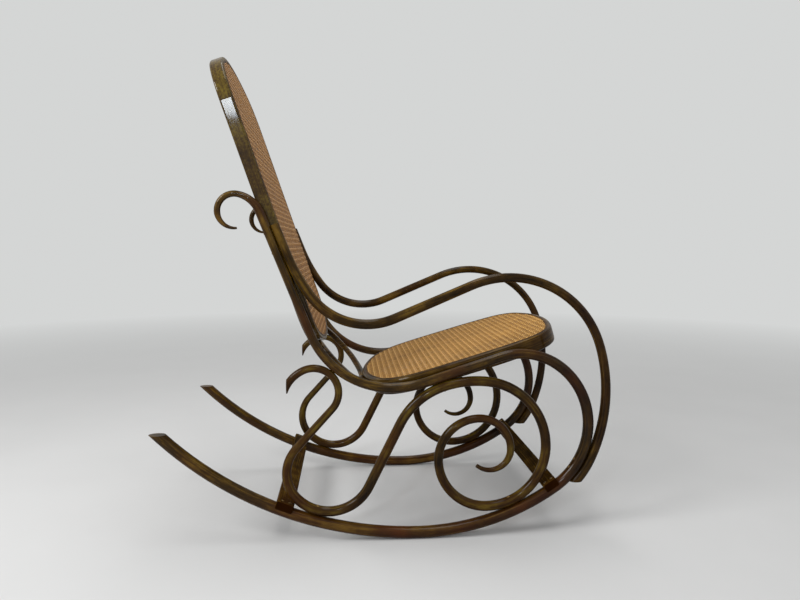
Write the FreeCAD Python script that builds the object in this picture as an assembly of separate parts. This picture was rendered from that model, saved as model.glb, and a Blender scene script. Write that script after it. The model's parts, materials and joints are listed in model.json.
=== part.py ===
import FreeCAD, Part
import cmath
import math
import os

# Bentwood rocking chair with a caned seat and a caned back.
# Millimetres. +X is the sitter's front, +Y the sitter's left, +Z up, and the runners rest on z = 0.
# Each side is a flat frame of three bent rods: the side rod (runner, front curve, seat rail, post
# and hook), the armrest and the scroll. Two caned rings and two boards join the two sides.
# Rod routes are drawn in the side plane, where a place is the complex number x + z i and a heading
# is in degrees, 0 towards the front and 90 upwards.

V = FreeCAD.Vector

# Spacing of the two side frames
side_spacing = 500.0
rod_bedding = 0.05

# Straight cuts in a rounded edge, and the least size that counts
round_cuts = 4
tolerance = 0.001

# Block that trims a rod's end, level or upright
trim_size = 200.0

# Side rod: diameters
runner_diameter = 27.0
front_diameter = 25.0
rail_diameter = 22.5
post_diameter = 19.8
hook_diameter = 14.0
hook_tip_diameter = 5.0

# Side rod: bends, in order from the rear tip of the runner to the tip of the hook
rear_runner_radius = 834.0
rear_runner_length = 690.0
rear_tip_height = 260.0
front_runner_radius = 566.0
front_runner_turn = 34.7
toe_radius = 178.5
toe_turn = 41.9
front_radius = 175.3
front_turn = 69.0
knee_radius = 156.8
knee_turn = 52.3
rail_length = 179.6
seat_bend_radius = 252.0
seat_bend_turn = 18.1
heel_radius = 201.0
heel_turn = 68.3
post_length = 290.5
shoulder_radius = 65.4
shoulder_turn = 56.2
hook_radius = 37.6
hook_turn = 110.0
hook_end_turn = 89.0

# Armrest
arm_top_diameter = 19.8
arm_valley_diameter = 22.5
arm_crest_diameter = 21.0
arm_front_diameter = 23.5
arm_top_station = 255.0
arm_leave_station = 185.0
arm_leave_radius = 442.0
arm_leave_turn = 13.7
arm_valley_radius = 157.7
arm_crest_radius = 227.0
arm_crest_end_heading = -72.5
arm_front_radius = 381.0
arm_joint_heading = 65.2
arm_foot_height = 125.5
arm_foot_overrun_turn = 30.0

# Scroll
scroll_diameter = 23.0
scroll_hook_diameter = 17.4
scroll_neck_diameter = 19.0
scroll_inner_diameters = (21.0, 19.0, 17.5, 9.0)
scroll_end_radius = 81.0
scroll_end_heading = 72.0
scroll_end_turn = 47.0
scroll_end_reach = 61.0
scroll_hook_radius = 56.5
scroll_hook_contact_heading = 139.2
rear_loop_contact_angle = 17.2
rear_loop_radius = 101.3
rear_loop_upper_radius = 87.1
rear_loop_change_heading = -47.0
rail_contact_station = 145.5
crest_rear_radius = 171.8
crest_front_radius = 239.2
crest_end_heading = -8.0
front_loop_upper_radius = 158.6
front_loop_rear_radius = 115.0
spiral_radii = (95.4, 75.0)
spiral_end_radius = 48.7
spiral_end_turn = 130.0

# Seat: a bent ring with a cane sheet held in its rabbet by a spline
seat_slope = 16.5
seat_station = 88.0
seat_ring_width = 37.0
seat_ring_height = 38.0
seat_edge_round = 7.0
seat_straight = 95.0
seat_front_corner_radius = 100.0
seat_front_side_radius = 700.0
seat_rear_corner_radius = 115.0
seat_rear_side_radius = 400.0
seat_front_end_turn = 18.0
seat_rear_end_turn = 22.0
seat_side_turn = 10.0

# Back: a bent ring, arched at the top and rounded at the bottom
back_lean = 18.8
back_station = 10.4
back_ring_width = 18.0
back_ring_depth = 30.0
back_edge_round = 4.0
back_above_station = 677.4
back_below_station = 62.3
back_top_corner_radius = 115.0
back_top_end_turn = 25.0
back_bottom_corner_radius = 80.0
back_bottom_end_turn = 20.0

# Cane and spline, alike in both rings; the cane is a coarse mesh, 12 openings across
cane_thickness = 1.2
cane_mesh_pitch = 37.0
cane_mesh_opening = 22.0
cane_mesh_rim = 4.0
spline_inset = 9.0
spline_width = 5.0
spline_depth = 5.0
spline_proud = 1.0
spline_shoulder = 0.4

# Bow between the back ring's foot and the rear of the seat ring
bow_width = 22.0
bow_thickness = 14.0
bow_round = 5.0
bow_foot_radius = 280.0
bow_foot_turn = 30.0
bow_side_radius = 70.0
bow_side_turn = 105.0
bow_foot_drop = 5.0
bow_foot_lap = 5.0
bow_head_spread = 300.0
bow_overrun = 16.0

# Boards across the two runners, let into the tops of the rods
board_thickness = 20.0
board_sunk = 11.0
board_round = 4.0
board_chamfer = 1.0
front_board_width = 35.0
front_board_angle = 34.0
rear_board_width = 41.0
rear_board_angle = 22.3

# Round-headed slotted wood screws
screw_shank = 4.0
screw_head = 8.5
screw_dome = 2.0
screw_slot = 1.0
screw_slot_depth = 1.0
screw_point = 5.0
screw_tip = 0.8
screw_hold = 15.0
bore_clearance = 0.1
head_clearance = 0.25
head_sunk = 1.2
counterbore_reach = 5.6
arm_post_screw_stations = (197.0, 243.0)
arm_front_screw_headings = (53.0, 61.0)
seat_screw_spread = 32.0
back_screw_stations = (80.0, 175.0)
board_screw_spread = 18.0
bow_seat_screw_spread = 40.0
bow_back_screw_hold = 11.0

right_y = -side_spacing / 2


def unit(heading):
    """Unit step along a heading."""
    return cmath.rect(1.0, math.radians(heading))


def left(heading):
    """Unit step square to a heading, on its left."""
    return 1j * unit(heading)


def bearing(step):
    """Heading of a step, in degrees."""
    return math.degrees(cmath.phase(step))


def sine(angle):
    return math.sin(math.radians(angle))


def cosine(angle):
    return math.cos(math.radians(angle))


class Route:
    """A chain of arcs and lines, each tangent to the last; a turn is positive to the left."""

    def __init__(self, place, heading):
        self.place = place
        self.heading = heading
        self.steps = []

    def line(self, length):
        self.steps.append(("line", self.place, self.heading, length, 0.0))
        self.place = self.place + length * unit(self.heading)
        return self

    def bend(self, radius, turn):
        side = math.copysign(1.0, turn)
        centre = self.place + side * radius * left(self.heading)
        self.steps.append(("bend", self.place, self.heading, radius, turn))
        self.heading = self.heading + turn
        self.place = centre - side * radius * left(self.heading)
        return self


def between(centre_a, radius_a, centre_b, radius_b, first_side):
    """Heading and length of the line from one bend to the next, which turns the other way."""
    gap = centre_b - centre_a
    reach = radius_a + radius_b
    heading = bearing(gap) + first_side * math.degrees(math.asin(reach / abs(gap)))
    return heading, math.sqrt(abs(gap) ** 2 - reach ** 2)


def turn_to(heading, target, side):
    """Turn from a heading to a target, to the left (side 1) or to the right (side -1)."""
    return side * ((side * (target - heading)) % 360.0)


def in_side(place, y):
    """A place in the side plane as a point in space."""
    return V(place.real, y, place.imag)


def fused(solids):
    """Solids that share whole end faces, joined into one."""
    whole = solids[0].fuse(solids[1:]).removeSplitter()
    assert len(whole.Solids) == 1
    assert whole.isValid()
    return whole.Solids[0]


def rod_step(step, start_diameter, end_diameter, y):
    """One line or bend of a round rod, with a steady taper between its two diameters."""
    kind, place, heading, size, turn = step
    start = in_side(place, y)
    ahead = in_side(unit(heading), 0.0)
    circle = Part.Wire(Part.makeCircle(start_diameter / 2, start, ahead))
    same = abs(start_diameter - end_diameter) < tolerance
    if kind == "line" and same:
        return Part.Face(circle).extrude(ahead * size)
    if kind == "line":
        return Part.makeCone(start_diameter / 2, end_diameter / 2, size, start, ahead)
    side = math.copysign(1.0, turn)
    centre = place + side * size * left(heading)
    if same:
        return Part.Face(circle).revolve(in_side(centre, y), V(0, -side, 0), abs(turn))
    middle = centre - side * size * left(heading + turn / 2)
    end = centre - side * size * left(heading + turn)
    spine = Part.Wire(Part.Arc(start, in_side(middle, y), in_side(end, y)).toShape())
    last = Part.makeCircle(end_diameter / 2, in_side(end, y), in_side(unit(heading + turn), 0.0))
    return spine.makePipeShell([circle, Part.Wire(last)], True, True)


def rod(route, diameters, y):
    """A round rod along a route, with one diameter for each joint of the route."""
    solids = []
    for index, step in enumerate(route.steps):
        solids.append(rod_step(step, diameters[index], diameters[index + 1], y))
    return fused(solids)


def section_along(route, section, plane):
    """A closed section carried along a flat route.

    The section lists its corners as (across, above): across is the distance to the left of the
    route and above is the height over its plane. The plane is a placement of local x, y, z.
    """
    solids = []
    for kind, place, heading, size, turn in route.steps:
        corners = []
        for across, above in section:
            spot = place + across * left(heading)
            corners.append(V(spot.real, spot.imag, above))
        face = Part.Face(Part.makePolygon(corners + corners[:1]))
        if kind == "line":
            step = size * unit(heading)
            solids.append(face.extrude(V(step.real, step.imag, 0)))
            continue
        side = math.copysign(1.0, turn)
        centre = place + side * size * left(heading)
        solids.append(face.revolve(V(centre.real, centre.imag, 0), V(0, 0, side), abs(turn)))
    whole = fused(solids)
    whole.Placement = plane
    return whole


def rounded(corner_across, corner_above, across_sign, above_sign, radius):
    """Corners that round a section's outer edge by a quarter circle."""
    centre_across = corner_across + across_sign * radius
    centre_above = corner_above + above_sign * radius
    corners = []
    for step in range(round_cuts + 1):
        angle = 90.0 * step / round_cuts
        corners.append((centre_across - across_sign * radius * cosine(angle),
                        centre_above - above_sign * radius * sine(angle)))
    return corners


def ring_section(width, height, edge_round):
    """Section of a caned ring: rounded outside, with a groove for the spline and a rabbet."""
    half = height / 2
    groove_end = spline_inset + spline_width
    section = rounded(0.0, half, 1, -1, edge_round)
    section += [(spline_inset, half), (spline_inset, half - spline_depth)]
    section += [(groove_end, half - spline_depth), (groove_end, half - cane_thickness)]
    section += [(width, half - cane_thickness), (width, -half)]
    section += list(reversed(rounded(0.0, -half, 1, 1, edge_round)))
    return section


def spline_section(height):
    """Section of the spline: square in its groove, with a low crown that stands proud."""
    half = height / 2
    inner = spline_inset + spline_width
    shoulder = half + spline_shoulder
    crown = half + spline_proud
    third = spline_width / 3
    return [(spline_inset, half - spline_depth), (spline_inset, shoulder),
            (spline_inset + third, crown), (inner - third, crown),
            (inner, shoulder), (inner, half - spline_depth)]


def end_radius(half_width, corner_radius, side_radius, end_turn, side_turn):
    """Radius of a ring's end arc that makes its three arcs reach the half width."""
    corner_end = 90.0 - side_turn
    corner = corner_radius * (sine(corner_end) - sine(end_turn))
    side = side_radius * (1.0 - sine(corner_end))
    return (half_width - corner - side) / sine(end_turn)


def end_reach(end, corner_radius, side_radius, end_turn, side_turn):
    """Length of a ring's end from its straight sides to its furthest point."""
    corner_end = 90.0 - side_turn
    reach = end * (1.0 - cosine(end_turn))
    reach += corner_radius * (cosine(end_turn) - cosine(corner_end))
    return reach + side_radius * cosine(corner_end)


def ring_route(front, rear, straight, half_width):
    """Closed outline that runs left about a ring from the middle of its front end.

    Each end is (corner radius, side radius, end turn, side turn). The straight sides start at
    local x = straight / 2.
    """
    front_end = end_radius(half_width, *front)
    rear_end = end_radius(half_width, *rear)
    route = Route(complex(straight / 2 + end_reach(front_end, *front), 0.0), 90.0)
    front_arcs = arcs_of(front_end, *front)
    rear_arcs = arcs_of(rear_end, *rear)
    lay(route, front_arcs)
    route.line(straight)
    lay(route, reversed(rear_arcs))
    lay(route, rear_arcs)
    route.line(straight)
    lay(route, reversed(front_arcs))
    return route


def arcs_of(end, corner_radius, side_radius, end_turn, side_turn):
    """Arcs of a quarter end, from its furthest point to the straight side."""
    arcs = [(end, end_turn), (corner_radius, 90.0 - end_turn - side_turn)]
    if side_turn > 0:
        arcs.append((side_radius, side_turn))
    return arcs


def lay(route, arcs):
    for radius, turn in arcs:
        route.bend(radius, turn)


def outline_inside(route, inset, height):
    """Closed wire inside an outline that turns left all the way."""
    edges = []
    for kind, place, heading, size, turn in route.steps:
        start = place + inset * left(heading)
        if kind == "line":
            end = start + size * unit(heading)
            edges.append(Part.makeLine(flat(start, height), flat(end, height)))
            continue
        centre = place + size * left(heading)
        radius = size - inset
        middle = centre - radius * left(heading + turn / 2)
        end = centre - radius * left(heading + turn)
        edges.append(Part.Arc(flat(start, height), flat(middle, height), flat(end, height)).toShape())
    return Part.Wire(edges)


def plate(route, inset, bottom, top, plane):
    """Flat sheet inside a closed outline."""
    sheet = Part.Face(outline_inside(route, inset, bottom)).extrude(V(0, 0, top - bottom))
    sheet.Placement = plane
    return sheet


def mesh_sheet(route, inset, bottom, top, plane):
    """Flat sheet inside a closed outline, with a plain grid of square openings."""
    outer = outline_inside(route, inset, bottom)
    limit = Part.Face(outline_inside(route, inset + cane_mesh_rim, bottom))
    half = cane_mesh_opening / 2
    across = int(limit.BoundBox.YMax / cane_mesh_pitch) + 1
    along = int(max(limit.BoundBox.XMax, -limit.BoundBox.XMin) / cane_mesh_pitch) + 1
    openings = []
    for row in range(-along, along):
        for column in range(-across, across):
            middle = complex(row + 0.5, column + 0.5) * cane_mesh_pitch
            corners = [flat(middle + half * corner, bottom) for corner in (1 + 1j, -1 + 1j, -1 - 1j, 1 - 1j)]
            if all(limit.isInside(corner, tolerance, True) for corner in corners):
                openings.append(Part.makePolygon(corners + corners[:1]))
    face = Part.Face([outer] + openings, "Part::FaceMakerBullseye")
    print("openings in the cane", len(openings))
    sheet = face.extrude(V(0, 0, top - bottom))
    sheet.Placement = plane
    return sheet


def flat(place, height):
    return V(place.real, place.imag, height)


def screw(start, direction, length):
    """Round-headed slotted screw: its head's flat underside is at start, its point is ahead."""
    axis = V(direction).normalize()
    shank = Part.makeCylinder(screw_shank / 2, length - screw_point, start, axis)
    point_start = start + axis * (length - screw_point)
    point = Part.makeCone(screw_shank / 2, screw_tip / 2, screw_point, point_start, axis)
    ball_radius = ((screw_head / 2) ** 2 + screw_dome ** 2) / (2 * screw_dome)
    ball = Part.makeSphere(ball_radius, start + axis * (ball_radius - screw_dome))
    cap = ball.common(Part.makeCylinder(screw_head / 2, 2 * screw_dome, start, axis * -1))
    slot_corner = V(-screw_head, -screw_slot / 2, -screw_slot_depth)
    slot = Part.makeBox(2 * screw_head, screw_slot, 2 * screw_slot_depth, slot_corner)
    slot.Placement = FreeCAD.Placement(start - axis * screw_dome, FreeCAD.Rotation(V(0, 0, 1), axis))
    return cap.cut(slot).fuse([shank, point]).removeSplitter().Solids[0]


def bore(start, direction, length):
    """Hole for a screw with the flat seat of its head."""
    axis = V(direction).normalize()
    hole = Part.makeCylinder(screw_shank / 2 + bore_clearance, length + bore_clearance, start, axis)
    seat = Part.makeCylinder(screw_head / 2 + head_clearance, counterbore_reach, start, axis * -1)
    return hole.fuse(seat)


def mirrored(shape):
    """The same shape on the other side of the chair."""
    return shape.mirror(V(0, 0, 0), V(0, 1, 0))


class Joint:
    """Screws of one joint on the right side: where each starts, its direction and its length."""

    def __init__(self):
        self.spots = []

    def add(self, surface, direction, through):
        """A screw from a surface point through a piece and its hold into the next."""
        axis = V(direction).normalize()
        length = through - head_sunk + screw_hold
        self.spots.append((surface + axis * head_sunk, axis, length))

    def screws(self):
        return [screw(*spot) for spot in self.spots]

    def bores(self):
        return [bore(*spot) for spot in self.spots]


def trim_block(middle_x, bottom):
    """Block about the right side plane, from a height upwards."""
    half = trim_size / 2
    return Part.makeBox(trim_size, trim_size, trim_size, V(middle_x - half, right_y - half, bottom))


def touching_loop_radius(place, inward, gap, centre, radius):
    """Radius of the loop through a place that touches the inside of a larger circle.

    The loop's centre lies inward of the place, and its centre line keeps the gap to the circle.
    """
    offset = place - gap * inward - centre
    along = (offset * inward.conjugate()).real
    return (radius ** 2 - abs(offset) ** 2) / (2 * (radius + along)) - gap


def foot_rise(foot_radius, inset):
    """Height of the back ring's foot arc above its lowest point, beside the bow's heads."""
    return foot_radius - math.sqrt((foot_radius - inset) ** 2 - (bow_head_spread / 2) ** 2)


def board_top(radius):
    """Distance from the centre of a runner's arc to the top of a board let into it."""
    return radius - runner_diameter / 2 - board_thickness + board_sunk


def board(centre, radius, angle, side_sign, width):
    """Board let into the tops of both runners at an angle from the foot of their arc."""
    outward = unit(-90.0 + side_sign * angle)
    top = centre + outward * board_top(radius)
    length = side_spacing + runner_diameter
    blank = Part.makeBox(width, length, board_thickness, V(-width / 2, -length / 2, -board_thickness))
    long_edges = [edge for edge in blank.Edges if abs(edge.BoundBox.YLength - length) < tolerance]
    blank = blank.makeFillet(board_round, long_edges)
    end_edges = [edge for edge in blank.Edges if edge.BoundBox.YLength < tolerance]
    blank = blank.makeChamfer(board_chamfer, end_edges)
    blank.Placement = FreeCAD.Placement(in_side(top, 0.0),
                                        FreeCAD.Rotation(V(0, 1, 0), -side_sign * angle))
    return blank


def board_joint(centre, radius, angle, side_sign):
    """Two screws through one end of a board into the runner."""
    joint = Joint()
    for offset in (-board_screw_spread / 2, board_screw_spread / 2):
        outward = unit(-90.0 + side_sign * angle)
        start = centre + outward * (board_top(radius) + head_sunk) + offset * 1j * outward
        joint.spots.append((in_side(start, right_y), in_side(outward, 0.0), board_thickness))
    return joint


def both(shapes):
    """Shapes of the right side and their mirror images."""
    return list(shapes) + [mirrored(shape) for shape in shapes]


# Side rod
runner_r = runner_diameter / 2
front_r = front_diameter / 2
rail_r = rail_diameter / 2
post_r = post_diameter / 2
rear_centre = complex(0.0, runner_r + rear_runner_radius)
front_centre = complex(0.0, runner_r + front_runner_radius)
rear_sweep = math.degrees(rear_runner_length / rear_runner_radius)
rear_start = rear_centre - rear_runner_radius * left(-rear_sweep)

side = Route(rear_start, -rear_sweep)
side.bend(rear_runner_radius, rear_sweep)
side.bend(front_runner_radius, front_runner_turn)
toe_centre = side.place + toe_radius * left(side.heading)
side.bend(toe_radius, toe_turn)
side.bend(front_radius, front_turn)
side.bend(knee_radius, knee_turn)
rail_start = side.place
rail_heading = side.heading
side.line(rail_length)
side.bend(seat_bend_radius, -seat_bend_turn)
heel_start_heading = side.heading
heel_centre = side.place - heel_radius * left(side.heading)
side.bend(heel_radius, -heel_turn)
post_foot = side.place
post_heading = side.heading
side.line(post_length)
side.bend(shoulder_radius, shoulder_turn)
side.bend(hook_radius, hook_turn)
side.bend(hook_radius, hook_end_turn)
side_diameters = [runner_diameter, runner_diameter, runner_diameter, front_diameter, front_diameter,
                  rail_diameter, rail_diameter, rail_diameter, post_diameter, post_diameter,
                  hook_diameter, hook_diameter, hook_tip_diameter]
side_rod = rod(side, side_diameters, right_y)
side_rod = side_rod.cut(trim_block(rear_start.real, rear_tip_height))

# Armrest: down the front of the post, over the valley and the crest, and down the front curve
post_gap = post_r + arm_top_diameter / 2 - rod_bedding
front_gap = front_r + arm_front_diameter / 2 - rod_bedding
arm_top = post_foot + arm_top_station * unit(post_heading) - post_gap * left(post_heading)
arm = Route(arm_top, post_heading + 180.0)
arm.line(arm_top_station - arm_leave_station)
arm.bend(arm_leave_radius, arm_leave_turn)
valley_centre = arm.place + arm_valley_radius * left(arm.heading)
joint_radius = toe_radius + front_gap
joint_place = toe_centre - joint_radius * left(arm_joint_heading)
arm_front_centre = joint_place + arm_front_radius * left(arm_joint_heading)
crest_end = arm_front_centre + arm_front_radius * left(arm_crest_end_heading)
crest_centre = crest_end - arm_crest_radius * left(arm_crest_end_heading)
slope_heading, slope_length = between(valley_centre, arm_valley_radius,
                                      crest_centre, arm_crest_radius, 1)
arm.bend(arm_valley_radius, turn_to(arm.heading, slope_heading, 1))
arm.line(slope_length)
arm.bend(arm_crest_radius, turn_to(arm.heading, arm_crest_end_heading, -1))
arm.bend(arm_front_radius, turn_to(arm.heading, arm_joint_heading - 180.0, -1))
arm.bend(joint_radius, -arm_foot_overrun_turn)
arm_diameters = [arm_top_diameter, arm_top_diameter, arm_valley_diameter, arm_valley_diameter,
                 arm_crest_diameter, arm_crest_diameter, arm_front_diameter, arm_front_diameter]
armrest = rod(arm, arm_diameters, right_y)
armrest = armrest.cut(trim_block(arm.place.real, arm_foot_height - trim_size))

# Scroll: rear hook under the seat bend, rear loop on the runner, crest under the rail, front loop
# on the runner and the spiral inside it
scroll_r = scroll_diameter / 2
hook_r = scroll_hook_diameter / 2
heel_share = (heel_start_heading - scroll_hook_contact_heading) / heel_turn
heel_r = rail_r + (post_r - rail_r) * heel_share
heel_gap = heel_r + hook_r - rod_bedding
heel_place = heel_centre + heel_radius * left(scroll_hook_contact_heading)
scroll_hook_centre = heel_place + (heel_gap + scroll_hook_radius) * left(scroll_hook_contact_heading)
runner_gap = runner_r + scroll_r - rod_bedding
rear_loop_direction = -1j * unit(-rear_loop_contact_angle)
rear_loop_reach = rear_runner_radius - runner_gap - rear_loop_radius
rear_loop_centre = rear_centre + rear_loop_direction * rear_loop_reach
change_place = rear_loop_centre - rear_loop_radius * left(rear_loop_change_heading)
upper_centre = change_place + rear_loop_upper_radius * left(rear_loop_change_heading)
neck_heading, neck_length = between(scroll_hook_centre, scroll_hook_radius,
                                    upper_centre, rear_loop_upper_radius, -1)
rail_gap = rail_r + scroll_r - rod_bedding
rail_contact = rail_start + rail_contact_station * unit(rail_heading) + rail_gap * left(rail_heading)
crest_heading = rail_heading - 180.0
crest_rear_centre = rail_contact - crest_rear_radius * left(crest_heading)
leg_heading, leg_length = between(rear_loop_centre, rear_loop_radius,
                                  crest_rear_centre, crest_rear_radius, 1)

hook_join_heading = scroll_end_heading - scroll_end_turn
hook_join = scroll_hook_centre + scroll_hook_radius * left(hook_join_heading)
end_centre = hook_join - scroll_end_radius * left(hook_join_heading)
scroll = Route(end_centre + scroll_end_radius * left(scroll_end_heading), scroll_end_heading)
scroll.bend(scroll_end_radius, -scroll_end_turn)
scroll.bend(scroll_hook_radius, turn_to(scroll.heading, neck_heading, -1))
scroll.line(neck_length)
scroll.bend(rear_loop_upper_radius, turn_to(scroll.heading, rear_loop_change_heading, 1))
scroll.bend(rear_loop_radius, turn_to(scroll.heading, leg_heading, 1))
scroll.line(leg_length)
scroll.bend(crest_rear_radius, turn_to(scroll.heading, crest_heading, -1))
scroll.bend(crest_front_radius, turn_to(scroll.heading, crest_end_heading, -1))
scroll.bend(front_loop_upper_radius, turn_to(scroll.heading, -90.0, -1))

front_loop_radius = touching_loop_radius(scroll.place, complex(-1, 0), runner_gap,
                                         front_centre, front_runner_radius)
front_loop_centre = scroll.place - front_loop_radius
scroll.bend(front_loop_radius, -90.0)
scroll.bend(front_loop_rear_radius, -90.0)
for spiral_radius in spiral_radii:
    scroll.bend(spiral_radius, -90.0)
scroll.bend(spiral_end_radius, -spiral_end_turn)
scroll_ends = [scroll_hook_diameter] * 3 + [scroll_neck_diameter]
scroll_middle_joints = len(scroll.steps) + 1 - len(scroll_ends) - len(scroll_inner_diameters)
scroll_diameters = scroll_ends + [scroll_diameter] * scroll_middle_joints + list(scroll_inner_diameters)
scroll_rod = rod(scroll, scroll_diameters, right_y)
scroll_tip = scroll_hook_centre - scroll_end_reach
scroll_rod = scroll_rod.cut(trim_block(scroll_tip.real - trim_size / 2, scroll_tip.imag - trim_size / 2))

# Seat ring, cane and spline
seat_half_width = side_spacing / 2 - rail_r + rod_bedding
seat_centre = rail_start + seat_station * unit(rail_heading)
seat_plane = FreeCAD.Placement(in_side(seat_centre, 0.0), FreeCAD.Rotation(V(0, 1, 0), -seat_slope))
seat_front = (seat_front_corner_radius, seat_front_side_radius, seat_front_end_turn, seat_side_turn)
seat_rear = (seat_rear_corner_radius, seat_rear_side_radius, seat_rear_end_turn, seat_side_turn)
seat_route = ring_route(seat_front, seat_rear, seat_straight, seat_half_width)
seat_ring = section_along(seat_route, ring_section(seat_ring_width, seat_ring_height, seat_edge_round),
                          seat_plane)
seat_spline = section_along(seat_route, spline_section(seat_ring_height), seat_plane)
groove_end = spline_inset + spline_width
seat_top = seat_ring_height / 2
seat_cane = mesh_sheet(seat_route, groove_end, seat_top - cane_thickness, seat_top, seat_plane)

# Back ring, cane and spline, drawn flat with local x up the back and then leaned
back_half_width = side_spacing / 2 - post_r + rod_bedding
back_top = (back_top_corner_radius, 0.0, back_top_end_turn, 0.0)
back_bottom = (back_bottom_corner_radius, 0.0, back_bottom_end_turn, 0.0)
back_top_reach = end_reach(end_radius(back_half_width, *back_top), *back_top)
back_bottom_reach = end_reach(end_radius(back_half_width, *back_bottom), *back_bottom)
back_straight = back_above_station + back_below_station - back_top_reach - back_bottom_reach
back_middle = back_above_station - back_top_reach - back_straight / 2
back_up = unit(90.0 + back_lean)
back_front = unit(back_lean)
back_crossing = post_foot + back_station * unit(post_heading)
back_centre = back_crossing + back_middle * back_up
back_plane = FreeCAD.Placement(in_side(back_centre, 0.0),
                               FreeCAD.Rotation(V(0, 1, 0), -90.0 - back_lean)
                               .multiply(FreeCAD.Rotation(V(1, 0, 0), 180.0)))
back_route = ring_route(back_top, back_bottom, back_straight, back_half_width)
back_ring = section_along(back_route, ring_section(back_ring_width, back_ring_depth, back_edge_round),
                          back_plane)
back_spline = section_along(back_route, spline_section(back_ring_depth), back_plane)
back_face = back_ring_depth / 2
back_cane = mesh_sheet(back_route, groove_end, back_face - cane_thickness, back_face, back_plane)

# Bow: its foot laps the seat ring's rear end, its two heads meet the underside of the back ring
seat_rear_reach = seat_straight / 2 + end_reach(end_radius(seat_half_width, *seat_rear), *seat_rear)
seat_rear_place = seat_centre - seat_rear_reach * unit(seat_slope)
bow_foot = seat_rear_place - bow_foot_drop * left(seat_slope)
back_foot_radius = end_radius(back_half_width, *back_bottom)

bow_head = back_crossing + (foot_rise(back_foot_radius, 0.0) - back_below_station) * back_up
bow_heading = bearing(bow_foot - bow_head)
bow_plane = FreeCAD.Placement(in_side(bow_foot, 0.0), FreeCAD.Rotation(V(0, 1, 0), -bow_heading))
bow_route = Route(complex(bow_foot_lap - bow_width / 2, 0.0), 90.0)
bow_route.bend(bow_foot_radius, bow_foot_turn)
bow_route.bend(bow_side_radius, bow_side_turn)
bow_route.line(bow_overrun)
bow_half_width = bow_width / 2
bow_half_thickness = bow_thickness / 2
bow_section = rounded(-bow_half_width, bow_half_thickness, 1, -1, bow_round)
bow_section += list(reversed(rounded(bow_half_width, bow_half_thickness, -1, -1, bow_round)))
bow_section += rounded(bow_half_width, -bow_half_thickness, -1, 1, bow_round)
bow_section += list(reversed(rounded(-bow_half_width, -bow_half_thickness, 1, 1, bow_round)))
bow_half = section_along(bow_route, bow_section, bow_plane)
back_filled = plate(back_route, 0.0, -back_face, back_face, back_plane)
seat_filled = plate(seat_route, 0.0, -seat_top, seat_top, seat_plane)
back_bow = bow_half.fuse(mirrored(bow_half)).removeSplitter().cut([back_filled, seat_filled])
back_bow = max(back_bow.Solids, key=lambda solid: solid.Volume)

# Boards across the runners
front_board = board(front_centre, front_runner_radius, front_board_angle, 1, front_board_width)
rear_board = board(rear_centre, rear_runner_radius, rear_board_angle, -1, rear_board_width)

# Joints of the right side
arm_post = Joint()
for station in arm_post_screw_stations:
    rear_of_post = post_foot + station * unit(post_heading) + post_r * left(post_heading)
    arm_post.add(in_side(rear_of_post, right_y), in_side(-left(post_heading), 0.0), post_diameter)

arm_front = Joint()
for heading in arm_front_screw_headings:
    inside = toe_centre - (toe_radius - front_r) * left(heading)
    arm_front.add(in_side(inside, right_y), in_side(-left(heading), 0.0), front_diameter)

scroll_runner = Joint()
front_loop_direction = (front_loop_centre - front_centre) / abs(front_loop_centre - front_centre)
front_inside = front_loop_centre + front_loop_direction * (front_loop_radius - scroll_r)
scroll_runner.add(in_side(front_inside, right_y), in_side(front_loop_direction, 0.0), scroll_diameter)
rear_inside = rear_loop_centre + rear_loop_direction * (rear_loop_radius - scroll_r)
scroll_runner.add(in_side(rear_inside, right_y), in_side(rear_loop_direction, 0.0), scroll_diameter)

scroll_rail = Joint()
below_rail = rail_contact + scroll_r * left(rail_heading)
scroll_rail.add(in_side(below_rail, right_y), in_side(-left(rail_heading), 0.0), scroll_diameter)

scroll_heel = Joint()
behind_hook = heel_place + (heel_gap + hook_r) * left(scroll_hook_contact_heading)
scroll_heel.add(in_side(behind_hook, right_y), in_side(-left(scroll_hook_contact_heading), 0.0),
                scroll_hook_diameter)

seat_joint = Joint()
for offset in (-seat_screw_spread / 2, seat_screw_spread / 2):
    spot = rail_start + (seat_station + offset) * unit(rail_heading)
    seat_joint.add(in_side(spot, seat_ring_width - seat_half_width), V(0, -1, 0), seat_ring_width)

back_joint = Joint()
for station in back_screw_stations:
    spot = post_foot + station * unit(post_heading)
    back_joint.add(in_side(spot, back_ring_width - back_half_width), V(0, -1, 0), back_ring_width)


front_board_joint = board_joint(front_centre, front_runner_radius, front_board_angle, 1)
rear_board_joint = board_joint(rear_centre, rear_runner_radius, rear_board_angle, -1)

bow_seat_joint = Joint()
bow_middle = bow_foot + (bow_foot_lap - bow_width / 2) * unit(bow_heading)
bow_under = bow_middle - bow_half_thickness * left(bow_heading)
bow_seat_joint.add(in_side(bow_under, -bow_seat_screw_spread / 2),
                   in_side(left(bow_heading), 0.0), bow_thickness)

bow_back_joint = Joint()
ring_inside = back_crossing + (foot_rise(back_foot_radius, back_ring_width) - back_below_station) * back_up
bow_back_joint.spots.append((in_side(ring_inside - head_sunk * back_up, -bow_head_spread / 2),
                             in_side(-back_up, 0.0), back_ring_width + bow_back_screw_hold))

# Bores
side_rod = side_rod.cut([front_board, rear_board])
side_cuts = arm_post.bores() + arm_front.bores() + scroll_runner.bores() + scroll_rail.bores()
side_cuts += scroll_heel.bores() + seat_joint.bores() + back_joint.bores()
side_cuts += front_board_joint.bores() + rear_board_joint.bores()
side_rod = side_rod.cut(side_cuts)
armrest = armrest.cut(arm_post.bores() + arm_front.bores())
scroll_rod = scroll_rod.cut(scroll_runner.bores() + scroll_rail.bores() + scroll_heel.bores())

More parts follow.
